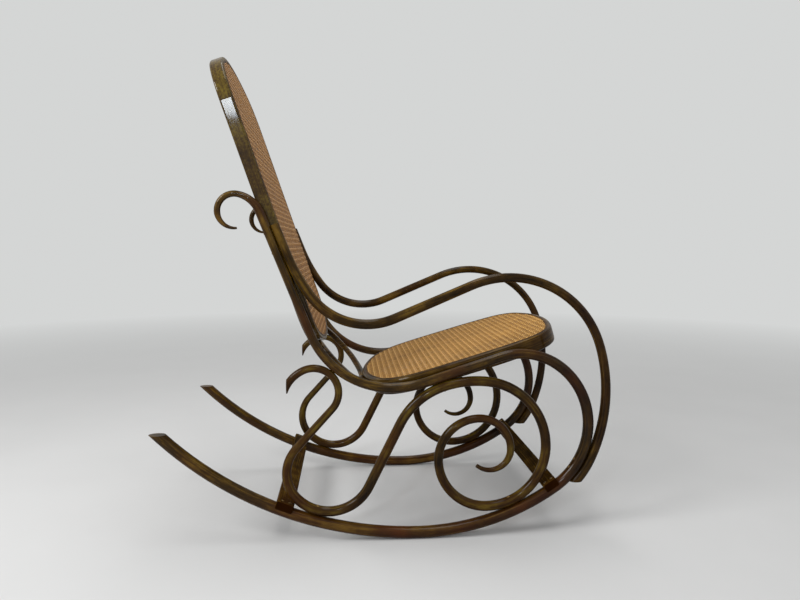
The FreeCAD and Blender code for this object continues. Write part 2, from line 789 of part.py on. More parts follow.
seat_ring = seat_ring.cut(both(seat_joint.bores() + bow_seat_joint.bores()))
back_ring = back_ring.cut(both(back_joint.bores() + bow_back_joint.bores()))
back_bow = back_bow.cut(both(bow_seat_joint.bores() + bow_back_joint.bores()))
front_board = front_board.cut(both(front_board_joint.bores()))
rear_board = rear_board.cut(both(rear_board_joint.bores()))

nodes = {
    "right_side_rod": side_rod,
    "left_side_rod": mirrored(side_rod),
    "right_armrest": armrest,
    "left_armrest": mirrored(armrest),
    "right_scroll": scroll_rod,
    "left_scroll": mirrored(scroll_rod),
    "seat_ring": seat_ring,
    "seat_cane": seat_cane,
    "seat_spline": seat_spline,
    "back_ring": back_ring,
    "back_cane": back_cane,
    "back_spline": back_spline,
    "back_bow": back_bow,
    "front_stretcher": front_board,
    "rear_stretcher": rear_board,
    "arm_post_screws": Part.makeCompound(both(arm_post.screws())),
    "arm_front_screws": Part.makeCompound(both(arm_front.screws())),
    "scroll_runner_screws": Part.makeCompound(both(scroll_runner.screws())),
    "scroll_rail_screws": Part.makeCompound(both(scroll_rail.screws())),
    "scroll_heel_screws": Part.makeCompound(both(scroll_heel.screws())),
    "seat_screws": Part.makeCompound(both(seat_joint.screws())),
    "back_screws": Part.makeCompound(both(back_joint.screws())),
    "stretcher_screws": Part.makeCompound(both(front_board_joint.screws() + rear_board_joint.screws())),
    "bow_seat_screws": Part.makeCompound(both(bow_seat_joint.screws())),
    "bow_back_screws": Part.makeCompound(both(bow_back_joint.screws())),
}

# The origin goes below the middle of the overall box
rear_most = nodes["right_side_rod"].optimalBoundingBox(False, False).XMin
front_most = nodes["right_armrest"].optimalBoundingBox(False, False).XMax
centring = V(-(rear_most + front_most) / 2, 0, 0)

os.makedirs("parts", exist_ok=True)
for name, shape in nodes.items():
    shape.translate(centring)
    assert shape.isValid(), name
    shape.exportStep("parts/" + name + ".step")
    box = shape.BoundBox
    print(name, len(shape.Solids), "solids", round(shape.Volume / 1000, 1), "cm3",
          [round(value, 1) for value in (box.XMin, box.YMin, box.ZMin, box.XMax, box.YMax, box.ZMax)])
print("seat top", (seat_plane.multVec(V(0, 0, seat_top)) + centring), "slope", seat_slope)
print("back rest", (back_plane.multVec(V(0, 0, back_face)) + centring), "lean", back_lean)
print("overall length", round(front_most - rear_most, 1), "centring", round(centring.x, 2))
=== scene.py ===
# %% [markdown]
# # A bentwood rocking chair with a caned seat and a caned back
# The chair is made of beech rods that were steamed, bent round forms, stained and lacquered.
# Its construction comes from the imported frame: rods, rings, bow, boards and screws already have
# their true shapes there. This lesson gives each of them its finish, weaves the two cane sheets
# strand by strand, and sets up the light and the camera. Everything is in metres, +X is the
# sitter's front, +Y the sitter's left and +Z is up.

# %% Load the frame
import json
import math

import bpy
import numpy as np
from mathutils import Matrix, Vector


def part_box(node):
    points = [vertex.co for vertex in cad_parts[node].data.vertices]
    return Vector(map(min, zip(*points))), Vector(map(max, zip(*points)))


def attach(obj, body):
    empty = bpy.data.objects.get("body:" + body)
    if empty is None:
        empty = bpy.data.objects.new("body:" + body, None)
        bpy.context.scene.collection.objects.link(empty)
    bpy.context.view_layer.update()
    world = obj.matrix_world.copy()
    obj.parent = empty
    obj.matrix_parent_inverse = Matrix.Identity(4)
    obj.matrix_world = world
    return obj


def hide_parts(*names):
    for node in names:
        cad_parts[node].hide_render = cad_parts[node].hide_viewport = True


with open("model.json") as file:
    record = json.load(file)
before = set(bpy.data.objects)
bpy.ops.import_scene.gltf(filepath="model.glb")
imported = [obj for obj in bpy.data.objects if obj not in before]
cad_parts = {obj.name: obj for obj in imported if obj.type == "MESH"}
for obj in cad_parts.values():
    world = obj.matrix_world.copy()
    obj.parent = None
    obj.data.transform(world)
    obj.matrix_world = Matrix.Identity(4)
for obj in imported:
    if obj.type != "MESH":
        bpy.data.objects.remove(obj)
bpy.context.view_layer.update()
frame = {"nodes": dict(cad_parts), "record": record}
nodes = frame["nodes"]
mounts = {mount["name"]: mount for mount in frame["record"]["mounts"]}
floor_contact = np.array(mounts["floor_contact"]["pos_m"])
print("nodes in the frame:", len(nodes), "- the runners touch the floor at x =", floor_contact[0])

# %% [markdown]
# ## Sums on shader sockets
# A finish is a sum of patterns: streaks, blotches, wear. Blender adds such patterns with nodes, and
# many nodes are hard to read in a script. A small class wraps an output socket, so that a formula
# such as 0.3 + 0.7 * streaks writes its own Math nodes. A second class makes any other node: its
# settings go in first, because some of them decide which sockets the node has.


# %% A socket that does sums
class Wire:
    """Output of a shader node. Sums with numbers or with other wires add Math nodes."""

    def __init__(self, maker, socket):
        self.maker = maker
        self.socket = socket

    def math(self, operation, *values, clamp=False):
        settings = {"operation": operation, "use_clamp": clamp}
        return self.maker.node("ShaderNodeMath", settings, dict(enumerate(values)))

    def __add__(self, other):
        return self.math("ADD", self, other)

    def __mul__(self, other):
        return self.math("MULTIPLY", self, other)

    def __sub__(self, other):
        return self.math("SUBTRACT", self, other)

    def __rsub__(self, other):
        return self.math("SUBTRACT", other, self)

    __radd__ = __add__
    __rmul__ = __mul__

    def step(self, low, high):
        """0 below low, 1 above high, and a straight slope between them."""
        return self.math("MULTIPLY_ADD", self, 1 / (high - low), -low / (high - low), clamp=True)


# %% [markdown]
# ## One method for every node
# By hand one would add a node, set its menus, type its values and draw its links, in that order. The
# maker below does the same in one call, so a finish reads as a list of patterns and not as a list
# of clicks. It also turns and stretches coordinates, which is how a pattern is laid on a piece.

# %% A maker of nodes
class Maker:
    """Adds nodes to one node tree, each by one call."""

    def __init__(self, tree):
        self.tree = tree
        tree.nodes.clear()

    def node(self, kind, settings=None, inputs=None, output=0):
        """Adds a node: settings first, then the values or wires of its sockets."""
        made = self.tree.nodes.new(kind)
        for name, value in (settings or {}).items():
            if name == "stops":
                self.set_stops(made.color_ramp, value)
            else:
                setattr(made, name, value)
        for key, value in (inputs or {}).items():
            if isinstance(value, Wire):
                self.tree.links.new(value.socket, made.inputs[key])
            else:
                made.inputs[key].default_value = value
        return Wire(self, made.outputs[output]) if len(made.outputs) else made

    @staticmethod
    def set_stops(ramp, stops):
        """Colour stops of a ramp, each (place, (red, green, blue))."""
        while len(ramp.elements) < len(stops):
            ramp.elements.new(1.0)
        for element, (place, colour) in zip(ramp.elements, stops):
            element.position = place
            element.color = (*colour, 1.0)

    def mapped(self, rotation=(0, 0, 0), scale=(1, 1, 1), source="Object"):
        """The piece's own coordinates, turned and then stretched."""
        coordinates = self.node("ShaderNodeTexCoord", output=source)
        turned = self.node("ShaderNodeMapping", {}, {"Vector": coordinates, "Rotation": rotation})
        return self.node("ShaderNodeMapping", {}, {"Vector": turned, "Scale": scale})

    def noise(self, vector, scale, detail=3.0, roughness=0.5):
        return self.node("ShaderNodeTexNoise", {}, {"Vector": vector, "Scale": scale,
                                                    "Detail": detail, "Roughness": roughness})

    def ramp(self, factor, stops):
        return self.node("ShaderNodeValToRGB", {"stops": stops}, {"Fac": factor})

    def mix(self, factor, first, second):
        """Mixes two colours; the Mix node's colour sockets are 6 and 7, its colour output 2."""
        return self.node("ShaderNodeMix", {"data_type": "RGBA"},
                         {0: factor, 6: first, 7: second}, output=2)

    def bump(self, height, distance, strength):
        return self.node("ShaderNodeBump", {}, {"Height": height, "Distance": distance,
                                                "Strength": strength})


def material(name):
    """A new material and the maker of its nodes."""
    made = bpy.data.materials.new(name)
    made.use_nodes = True
    return made, Maker(made.node_tree)


def surface(maker, **sockets):
    """Ends a material with a Principled BSDF; a socket's name has _ where it has a space."""
    inputs = {name.replace("_", " "): value for name, value in sockets.items()}
    shader = maker.node("ShaderNodeBsdfPrincipled", {}, inputs)
    maker.node("ShaderNodeOutputMaterial", {}, {"Surface": shader})


# %% [markdown]
# ## Stained and lacquered beech
# The rods are beech, stained dark brown and lacquered to a gloss. Grain runs along each rod, also
# round its bends. A rod that is bent in one plane has a neat property: every line along it keeps
# its distance from that plane. So a pattern that changes fast across the plane and slowly within
# it runs along the rod wherever it turns, with no unwrapping. Each finish therefore takes the turn
# that brings the normal of its bending plane onto Z. The slopes of the seat and the back are read
# from the frame's own mounts, so the grain stays true if the chair is drawn anew.

# %% Bending planes
seat_normal = np.array(mounts["seat_top"]["axis"])
back_normal = np.array(mounts["back_rest"]["axis"])
seat_slope = math.atan2(-seat_normal[0], seat_normal[2])
back_turn = math.atan2(back_normal[0], back_normal[2])
back_front = float(back_normal @ np.array(mounts["back_rest"]["pos_m"]))
SIDE_PLANE = (math.radians(90), 0, 0)
SEAT_PLANE = (0, seat_slope, 0)
BACK_PLANE = (0, -back_turn, 0)
print("seat slope", round(math.degrees(seat_slope), 1), "degrees, back lean",
      round(90 - math.degrees(back_turn), 1), "degrees")

# %% [markdown]
# ## The lacquer itself
# Old lacquered beech is far from even. The stain takes unevenly along the grain and the coat is
# rubbed dull in places. The forward parts are painted darker, as painted shade, and the parts near
# the floor are painted redder, as a painted reflection of a warm floor. A photograph of wood would
# bring its own light with it, so the tone is a sum of noises instead: streaks along the rod, blotches
# of stain and fine pores. A ramp from almost black to golden brown turns the tone into a colour, and
# a clear coat above it gives the sharp highlights.

# %% Lacquer
ALONG = 9.0                     # grain features per metre along a rod
ACROSS = 420.0                  # grain features per metre across it
PAINTED_SHADE_FRONT_FADE = (0.15, 0.42)       # metres forward of the middle: the tone falls between these, as painted shade
PAINTED_FLOOR_REFLECTION_FADE = (0.05, 0.14)         # metres over the floor: the redder tone, a painted reflection of a warm floor, ends between these
WORN_FADE = (-0.0015, -0.0005)  # metres over dull_above: the coat ends between these
END_GRAIN_DEPTH = 0.0004        # metres from a board's end: the wood is dark within this
STAIN_DARK = (0.006, 0.0028, 0.0005)
STAIN_MIDDLE = (0.044, 0.0225, 0.0028)
STAIN_LIGHT = (0.165, 0.095, 0.013)
# Red of random stain patches, and of the painted reflection of a warm floor low down.
STAIN_AND_PAINTED_REFLECTION_RED = (0.075, 0.019, 0.003)
STAIN_OLIVE = (0.150, 0.104, 0.012)


def lacquer(name, plane, stretch=(ALONG, ALONG, ACROSS), depth=0.0, redness=0.3, gloss=0.18,
            light=STAIN_LIGHT, mottle=0.0, painted_front_shade=0.0, dull_above=None, end_grain=None):
    """Dark stained beech under a clear coat; depth lowers the tone, redness warms it.

    Tone = 0.55 * figure + 0.30 * blotches + 0.15 * pores - depth - painted_front_shade * (share of
    the way forward), where figure = (1 - mottle) * grain + mottle * specks; painted_front_shade is
    painted shade that darkens the forward parts. Red comes in random patches of stain, and near the
    floor as a painted reflection of a warm floor. The coat is worn off from about the height
    dull_above over the bending plane, and a board is almost black on its ends, which lie end_grain
    from the middle on either side.
    """
    made, maker = material(name)
    here = maker.node("ShaderNodeTexCoord", output="Object")
    grain = maker.noise(maker.mapped(plane, stretch), 1.0, detail=6.0, roughness=0.62)
    specks = maker.noise(here, 190.0, detail=4.0, roughness=0.6)
    blotches = maker.noise(here, 22.0, detail=3.0)
    pores = maker.noise(maker.mapped(plane, tuple(6 * part for part in stretch)), 1.0, detail=2.0)
    figure = (1 - mottle) * grain + mottle * specks
    x, y, z = (maker.node("ShaderNodeSeparateXYZ", {}, {0: here}, output=axis) for axis in "XYZ")
    # painted_front_shade takes painted shade off the tone of the forward parts.
    tone = 0.55 * figure + 0.30 * blotches + 0.15 * pores - depth - painted_front_shade * x.step(*PAINTED_SHADE_FRONT_FADE)
    if end_grain is not None:
        tone = tone - 0.3 * y.math("ABSOLUTE", y).step(end_grain - END_GRAIN_DEPTH, end_grain)
    stops = [(0.37, STAIN_DARK), (0.50, STAIN_MIDDLE), (0.64, light)]
    patches = maker.noise(here, 7.0, detail=2.0).step(0.45, 0.70)
    # Red in random patches of stain, and near the floor as a painted reflection of a warm floor.
    warm = redness * (patches + 0.4 * (1 - z.step(*PAINTED_FLOOR_REFLECTION_FADE)))
    colour = maker.mix(warm, maker.ramp(tone, stops), (*STAIN_AND_PAINTED_REFLECTION_RED, 1.0))
    dull = maker.noise(here, 55.0, detail=4.0)
    coat = gloss * (0.7 + 0.6 * dull)
    if dull_above is not None:
        height = maker.node("ShaderNodeSeparateXYZ", {}, {0: maker.mapped(plane)}, output="Z")
        worn = height.step(dull_above + WORN_FADE[0], dull_above + WORN_FADE[1])
        coat = coat * (1 - 0.94 * worn)
    surface(maker, Base_Color=colour, Roughness=0.26 + 0.24 * dull, IOR=1.5,
            Specular_IOR_Level=0.16 * gloss, Coat_Weight=coat, Coat_Roughness=0.07,
            Normal=maker.bump(grain + 0.5 * pores, 0.00010, 0.5))
    return made


# %% [markdown]
# ## Cane
# Cane is the shiny bark of the rattan palm, cut in narrow strips: golden on the seat, pinker and
# duller on the back. One colour for the whole sheet would look like printed cloth. Each strand
# therefore carries its own shade as an attribute, and a UV map that runs along it, so its fine
# lines follow the weave. The shade also holds painted shade: darker where a strand dips, and darker
# for the strands up and along the diagonals than for those across. Stains spread over several
# strands, as spilt water does.

# %% Cane
SEAT_CANE = [(0.2, (0.13, 0.055, 0.010)), (0.5, (0.42, 0.215, 0.050)), (0.8, (0.66, 0.390, 0.125))]
BACK_CANE = [(0.2, (0.10, 0.042, 0.010)), (0.5, (0.33, 0.168, 0.056)), (0.8, (0.52, 0.295, 0.120))]


def cane_finish(name, stops):
    """Cane bark: tone = 0.52 * shade (partly painted shade) + 0.20 * lines along it + 0.28 * stains.
    """
    made, maker = material(name)
    here = maker.node("ShaderNodeTexCoord", output="Object")
    shade = maker.node("ShaderNodeAttribute", {"attribute_name": "shade"}, output="Fac")
    lines = maker.noise(maker.mapped(scale=(60.0, 9.0, 1.0), source="UV"), 1.0, detail=4.0)
    stains = maker.noise(here, 16.0, detail=6.0, roughness=0.65)
    tone = 0.52 * shade + 0.20 * lines + 0.28 * stains
    surface(maker, Base_Color=maker.ramp(tone, stops), Roughness=0.42 + 0.25 * stains,
            IOR=1.5, Specular_IOR_Level=0.2, Normal=maker.bump(lines, 0.00008, 0.5))
    return made


# %% [markdown]
# ## Spline and brass
# The spline is a rattan core that is pressed into the groove over the edge of the cane and then
# lacquered with the ring, so it gets a grain of its own and hardly any gloss. The screws are brass
# that has gone brown in its recesses. Metal and tarnish are one material: noise decides where it
# shines as metal and where it is a dull brown crust.

# %% Spline and brass
def reed_finish(name, plane):
    """Dark reed: rings of colour along the groove and small scratches."""
    made, maker = material(name)
    grain = maker.noise(maker.mapped(plane, (14.0, 14.0, 300.0)), 1.0, detail=5.0)
    spots = maker.noise(maker.node("ShaderNodeTexCoord", output="Object"), 160.0, detail=2.0)
    stops = [(0.35, (0.022, 0.011, 0.004)), (0.55, (0.075, 0.038, 0.013)),
             (0.75, (0.190, 0.105, 0.040))]
    surface(maker, Base_Color=maker.ramp(0.6 * grain + 0.4 * spots, stops),
            Roughness=0.35 + 0.25 * spots, IOR=1.5, Specular_IOR_Level=0.03, Coat_Weight=0.04,
            Coat_Roughness=0.12, Normal=maker.bump(grain, 0.0001, 0.6))
    return made


def brass_finish(name):
    """Aged brass: bright where it is rubbed, brown where it is not."""
    made, maker = material(name)
    here = maker.node("ShaderNodeTexCoord", output="Object")
    age = maker.noise(here, 420.0, detail=5.0, roughness=0.7)
    scratches = maker.noise(maker.mapped(scale=(2500.0, 300.0, 300.0)), 1.0, detail=2.0)
    stops = [(0.35, (0.055, 0.030, 0.012)), (0.52, (0.24, 0.145, 0.050)), (0.70, (0.50, 0.34, 0.14))]
    surface(maker, Base_Color=maker.ramp(age, stops), Metallic=age.step(0.36, 0.48),
            Roughness=0.62 - 0.30 * age, Normal=maker.bump(scratches + age, 0.00005, 0.5))
    return made


# %% [markdown]
# ## Dressing the rods, rings, boards and screws
# These pieces need no new shape: the frame's rods already taper and their screws have slots. Each
# group gets a lacquer of its own: they weathered differently, and some also carry painted shade or a
# painted reflection. The scrolls and the back ring went olive, the bow is darker, and the two boards
# are nearly bare of gloss. The side rods are red, most of all near the floor, where the red is a
# painted reflection of a warm floor, and the forward parts of the side rods, armrests and scrolls are
# painted darker, as painted shade. One finish serves left and right, and its noise differs by itself
# from place to place.

# %% Dress the frame's own pieces
BOARD_GRAIN = (ACROSS, ALONG, ACROSS)   # a board's grain runs from one runner to the other
END_MARGIN = 0.0002                     # a board's end face lies this far beyond end_grain
board_end = float(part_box("front_stretcher")[1][1])
finishes = {
    # painted_front_shade is painted shade on the forward parts; redness near the floor is a painted
    # reflection of a warm floor.
    "side": lacquer("lacquered_side_rods", SIDE_PLANE, redness=0.6, gloss=0.24, painted_front_shade=0.09),
    "arm": lacquer("lacquered_armrests", SIDE_PLANE, depth=-0.01, redness=0.2, painted_front_shade=0.06),
    "scroll": lacquer("lacquered_scrolls", SIDE_PLANE, depth=0.005, light=STAIN_OLIVE, painted_front_shade=0.02),
    "seat": lacquer("lacquered_seat_ring", SEAT_PLANE, redness=0.2),
    "back": lacquer("lacquered_back_ring", BACK_PLANE, depth=-0.03, redness=0.1, gloss=0.36,
                    light=STAIN_OLIVE, mottle=0.45, dull_above=back_front),
    "bow": lacquer("lacquered_bow", SEAT_PLANE, depth=0.03),
    "board": lacquer("lacquered_boards", (0, 0, 0), stretch=BOARD_GRAIN, gloss=0.01,
                     end_grain=board_end - END_MARGIN),
    "seat_reed": reed_finish("seat_reed", SEAT_PLANE),
    "back_reed": reed_finish("back_reed", BACK_PLANE),
    "brass": brass_finish("aged_brass"),
}
wearers = {
    "right_side_rod": "side", "left_side_rod": "side",
    "right_armrest": "arm", "left_armrest": "arm",
    "right_scroll": "scroll", "left_scroll": "scroll",
    "seat_ring": "seat", "back_ring": "back", "back_bow": "bow",
    "front_stretcher": "board", "rear_stretcher": "board",
    "seat_spline": "seat_reed", "back_spline": "back_reed",
}


def wear(piece, finish):
    """Gives a piece one material all over."""
    piece.data.materials.clear()
    piece.data.materials.append(finish)


for name, piece in nodes.items():
    if name in wearers:
        wear(piece, finishes[wearers[name]])
    elif name.endswith("screws"):
        wear(piece, finishes["brass"])
print("finishes:", len(finishes))

# %% [markdown]
# ## The woven cane
# A sheet of chair cane repeats about every half inch. Two strands run up, two run across and one
# runs along each diagonal. All six meet at one knot and leave the well known eight-sided holes.
# A picture of that pattern would be flat and its holes closed. So each strand is a real ribbon here:
# a flat section with a crown, carried along a line that rises over one strand and dips under the
# next. Cane is about a millimetre thick, which matters here: seen at a low angle, the strands hide
# the holes behind them and the sheet shows light and dark rows. The strands across the sheet are the
# widest, because they make the light rows; they are also painted palest and the others darker, as
# painted shade that deepens the dark rows.

# %% Sizes and shades of the weave
pitch = 0.0138                # from knot to knot
pair_gap = 0.0018             # from the middle of a pair to each of its strands
strand_width = 0.0026
row_width = 0.0032            # strands that run across the sheet
diagonal_width = 0.0026
strand_thickness = 0.0011
lift = 0.00085                # height of a strand over the sheet's middle where it passes over
diagonal_lift = 0.00045
shade_spread = 0.12           # a strand's shade departs from its family's by up to this
painted_dip_shade = 0.20           # a strand is lighter by this where it passes over and darker where it dips: painted shade
uv_jump = 31                  # shifts a strand's pattern sideways by this times its shade
same_place = 1e-4             # outline points nearer than this count as one


# %% [markdown]
# ## Where the strands begin and end
# On the chair the sheet is woven first and its edge is then pressed into the groove of the ring. One
# could weave a square and cut it with a boolean, but that is slow on thousands of ribbons and leaves
# ragged edges. It is simpler to know the outline. Both sheets are convex, so a straight strand enters
# the outline once and leaves it once, and the two places follow from one formula. Plane and outline
# are measured on the frame's own cane node.

# %% The sheet's plane and outline
def sheet_frame(node, normal):
    """Origin, axes (right, up, out) and outline of a cane sheet's middle plane."""
    out = normal / np.linalg.norm(normal)
    right = np.array([0.0, 1.0, 0.0])
    up = np.cross(out, right)
    vertices = nodes[node].data.vertices
    corners = np.empty(3 * len(vertices), dtype=np.float32)
    vertices.foreach_get("co", corners)
    corners = corners.reshape(-1, 3).astype(float)
    heights = corners @ out
    middle = (corners.max(axis=0) + corners.min(axis=0)) / 2
    origin = middle + out * ((heights.max() + heights.min()) / 2 - middle @ out)
    flat = np.stack([(corners - origin) @ right, (corners - origin) @ up], axis=1)
    print(node, "sheet", [round(float(size), 3) for size in np.ptp(flat, axis=0)], "m")
    return origin, np.stack([right, up, out]), convex_outline(flat)


def convex_outline(flat, headings=720):
    """Outline around flat points, turning left: the farthest point in each of many headings."""
    angle = np.linspace(0, 2 * np.pi, headings, endpoint=False)
    farthest = (flat @ np.stack([np.cos(angle), np.sin(angle)])).argmax(axis=0)
    outline = flat[farthest]
    apart = np.linalg.norm(outline - np.roll(outline, 1, axis=0), axis=1)
    return outline[apart > same_place]


def chords(outline, starts, direction):
    """Where lines through starts along direction enter and leave a convex outline.

    The outline turns left. A line crosses the side from a to b at
    t = n . (a - start) / n . direction, where n is the side's inward normal; it enters where
    n . direction is positive. The chord runs from the largest entry to the smallest exit.
    """
    side = np.roll(outline, -1, axis=0) - outline
    inward = np.stack([-side[:, 1], side[:, 0]], axis=1)
    along = inward @ direction
    reach = np.einsum("ek,lek->le", inward, outline[None] - starts[:, None])
    with np.errstate(divide="ignore", invalid="ignore"):
        crossing = reach / along
    first = np.where(along > 0, crossing, -np.inf).max(axis=1)
    last = np.where(along < 0, crossing, np.inf).min(axis=1)
    return first, last


# %% [markdown]
# ## One strand
# A strand of cane has a rounded shiny face and a flatter back. A curve with a bevel would do, but it
# gives little control over where the ribbon is sampled. Here the section has five corners and is
# placed at every point of the line at once, as one array of points by corners. The two ends are
# closed, so each strand is a solid of its own.

# %% One strand
SECTION = np.array([(-0.5, -0.15), (-0.25, 0.42), (0.25, 0.42), (0.5, -0.15), (0.0, -0.5)])


def ribbon(line, heights, across, width, shade):
    """Closed ribbon with a five-cornered section along flat points at given heights.

    A corner of the section at (s, h) goes to point + s * width * across, height + h * thickness.
    Returns corners (right, up, out), the faces along the ribbon, its two end faces, all facing
    outwards, and for each corner its UV (along, around).
    """
    count, sides = len(line), len(SECTION)
    flat = line[:, None, :] + SECTION[None, :, :1] * width * across
    out = heights[:, None] + SECTION[None, :, 1] * strand_thickness
    corners = np.concatenate([flat, out[:, :, None]], axis=2).reshape(-1, 3)
    ring = np.arange(sides)
    base = (np.arange(count - 1) * sides)[:, None]
    quads = np.stack([base + ring, base + sides + ring, base + sides + np.roll(ring, -1),
                      base + np.roll(ring, -1)], axis=2).reshape(-1, 4)
    length = np.linalg.norm(line - line[0], axis=1)
    spread = np.broadcast_to(ring / sides, (count, sides))
    uv = np.stack([np.repeat(length, sides) + shade, spread.reshape(-1) + uv_jump * shade], axis=1)
    caps = [list(ring), list(ring[::-1] + (count - 1) * sides)]
    return corners, quads, caps, uv


# %% [markdown]
# ## A family of parallel strands
# The weave is four families of parallel strands. A family is one mesh, because hundreds of single
# objects would be hard to handle. Along a strand the height changes only where it meets others, so
# it is sampled just there, which keeps even the large back sheet light.

# %% A family of parallel strands
def woven(name, sheet, direction, spacing, offsets, bends, width, seed, wave, tone):
    """All strands of one direction in one mesh.

    Strand k runs through k * spacing + offset along the unit step across, and is sampled where it
    meets other strands: at every whole number of knot steps plus each of bends. wave gives its
    height at those places, for the first and for the second strand of a pair. tone is the family's
    middle shade, painted light for the strands across and dark for the others, as painted shade for
    the dark rows; a strand departs from it a little at random, and is painted darker where it dips,
    as painted shade.
    """
    origin, axes, outline = sheet
    across = np.array([-direction[1], direction[0]])
    reach = np.abs(outline).max() * 1.5     # past every corner of the outline
    knot_step = pitch / np.abs(direction).max()
    rows = np.arange(-math.ceil(reach / spacing), math.ceil(reach / spacing) + 1)
    knots = np.arange(-math.ceil(reach / knot_step), math.ceil(reach / knot_step) + 1)
    random = np.random.default_rng(seed)
    corner_parts, quad_parts, uv_parts, shade_parts, cap_faces = [], [], [], [], []
    total = 0
    for which, offset in enumerate(offsets):
        starts = (rows * spacing + offset)[:, None] * across
        first, last = chords(outline, starts, direction)
        for start, begin, end in zip(starts, first, last):
            if end - begin < pitch / 2:
                continue
            phase = float(start @ direction)
            places = (knots[:, None] * knot_step + np.array(bends)).reshape(-1) - phase
            heights = np.tile(wave[which], len(knots))
            inside = (places > begin + strand_width / 2) & (places < end - strand_width / 2)
            steps = np.concatenate([[begin], places[inside], [end]])
            rise = np.concatenate([[0.0], heights[inside], [0.0]])
            line = start + steps[:, None] * direction
            shade = tone + random.uniform(-shade_spread, shade_spread)
            corners, quads, caps, uv = ribbon(line, rise, across, width, shade)
            # Painted shade: a strand is painted darker where it dips and lighter where it passes over.
            shades = shade + painted_dip_shade * corners[:, 2] / lift
            corner_parts.append(corners)
            quad_parts.append(quads + total)
            cap_faces += [[int(corner) + total for corner in cap] for cap in caps]
            uv_parts.append(uv)
            shade_parts.append(shades)
            total += len(corners)
    corners = origin + np.concatenate(corner_parts) @ axes
    faces = np.concatenate(quad_parts).tolist() + cap_faces
    return mesh_piece(name, corners, faces, np.concatenate(uv_parts), np.concatenate(shade_parts))


def mesh_piece(name, corners, faces, uv, shade):
    """A smooth mesh object with a UV map and a shade for each corner."""
    mesh = bpy.data.meshes.new(name)
    mesh.from_pydata(corners.tolist(), [], faces)
    layer = mesh.uv_layers.new(name="along")
    corner_of_loop = np.zeros(len(mesh.loops), dtype=np.int32)
    mesh.loops.foreach_get("vertex_index", corner_of_loop)
    layer.data.foreach_set("uv", uv[corner_of_loop].astype(np.float32).reshape(-1))
    mesh.attributes.new("shade", "FLOAT", "POINT").data.foreach_set("value", shade.astype(np.float32))
    mesh.polygons.foreach_set("use_smooth", np.ones(len(mesh.polygons), dtype=bool))
    piece = bpy.data.objects.new(name, mesh)
    bpy.context.scene.collection.objects.link(piece)
    return piece


# %% [markdown]
# ## The knot
# At each knot the strands up and across pass over and under each other in turn, as in plain weaving,
# and the two diagonals slip between them. The heights are small, under a millimetre, but they make
# the knots catch the light.

# %% Weave both sheets
def weave(sheet_name, normal, finish):
    """Four families of strands: up pairs, across pairs and the two diagonals.

    At a knot the first strand up passes under the first strand across and over the second, and
    the second strand up does the opposite. Both diagonals pass between the two strands that cross
    beneath and above them, and one passes over the other at the knot's middle.
    """
    sheet = sheet_frame(sheet_name, normal)
    half = pitch / 2
    near = (half + pair_gap) / 2
    pair_bends = (-pair_gap, 0.0, pair_gap, near, half, pitch - near)
    over_first = (lift, 0.0, -lift, -lift / 4, 0.0, lift / 4)
    under_first = (-lift, 0.0, lift, lift / 4, 0.0, -lift / 4)
    diagonal = pitch * math.sqrt(2)
    knot = pair_gap * math.sqrt(2)
    diagonal_bends = (-knot, 0.0, knot, diagonal / 4, diagonal / 2, 3 * diagonal / 4)
    above = (0.0, diagonal_lift, 0.0, 0.0, 0.0, 0.0)
    below = (0.0, -diagonal_lift, 0.0, 0.0, 0.0, 0.0)
    slant = math.sqrt(0.5)
    pair = (-pair_gap, pair_gap)
    # The family tones are painted shade: the strands across are painted light and the others dark, for
    # the dark rows between the light ones.
    made = [
        woven(sheet_name + "_up", sheet, np.array([0.0, 1.0]), pitch, pair, pair_bends,
              strand_width, seed=11, wave=(under_first, over_first), tone=0.24),
        woven(sheet_name + "_across", sheet, np.array([1.0, 0.0]), pitch, pair, pair_bends,
              row_width, seed=12, wave=(under_first, over_first), tone=0.80),
        woven(sheet_name + "_slant_left", sheet, np.array([slant, slant]), pitch * slant, (0.0,),
              diagonal_bends, diagonal_width, seed=13, wave=(above,), tone=0.20),
        woven(sheet_name + "_slant_right", sheet, np.array([slant, -slant]), pitch * slant, (0.0,),
              diagonal_bends, diagonal_width, seed=14, wave=(below,), tone=0.15),
    ]
    for piece in made:
        wear(piece, finish)
        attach(piece, "root")
        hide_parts(sheet_name)
        print(piece.name, "faces", len(piece.data.polygons))


weave("seat_cane", seat_normal, cane_finish("golden_cane", SEAT_CANE))
weave("back_cane", back_normal, cane_finish("rosy_cane", BACK_CANE))

# %% [markdown]
# ## Floor and world
# The chair stands on a plain pale floor that fades into a plain backdrop. A pale floor throws much
# light up at a dark chair and turns its undersides grey. So floor and world are pale to the eye and
# in reflections, but milder in the light that they scatter: the floor's is weak and warm, and the
# undersides of the rods stay dark. The chair's shadow still falls on the floor.

# %% Floor and world
FLOOR_COLOUR = (0.66, 0.66, 0.655)
WARM_BOUNCE = (0.26, 0.17, 0.09, 1.0)
BACKDROP = (0.66, 0.67, 0.665, 1.0)


def seen(maker):
    """1 for rays from the eye, from a mirror or through glass, and 0 for light that is scattered."""
    rays = [maker.node("ShaderNodeLightPath", output=name)
            for name in ("Is Camera Ray", "Is Glossy Ray", "Is Transmission Ray")]
    return rays[0] + rays[1] + rays[2]


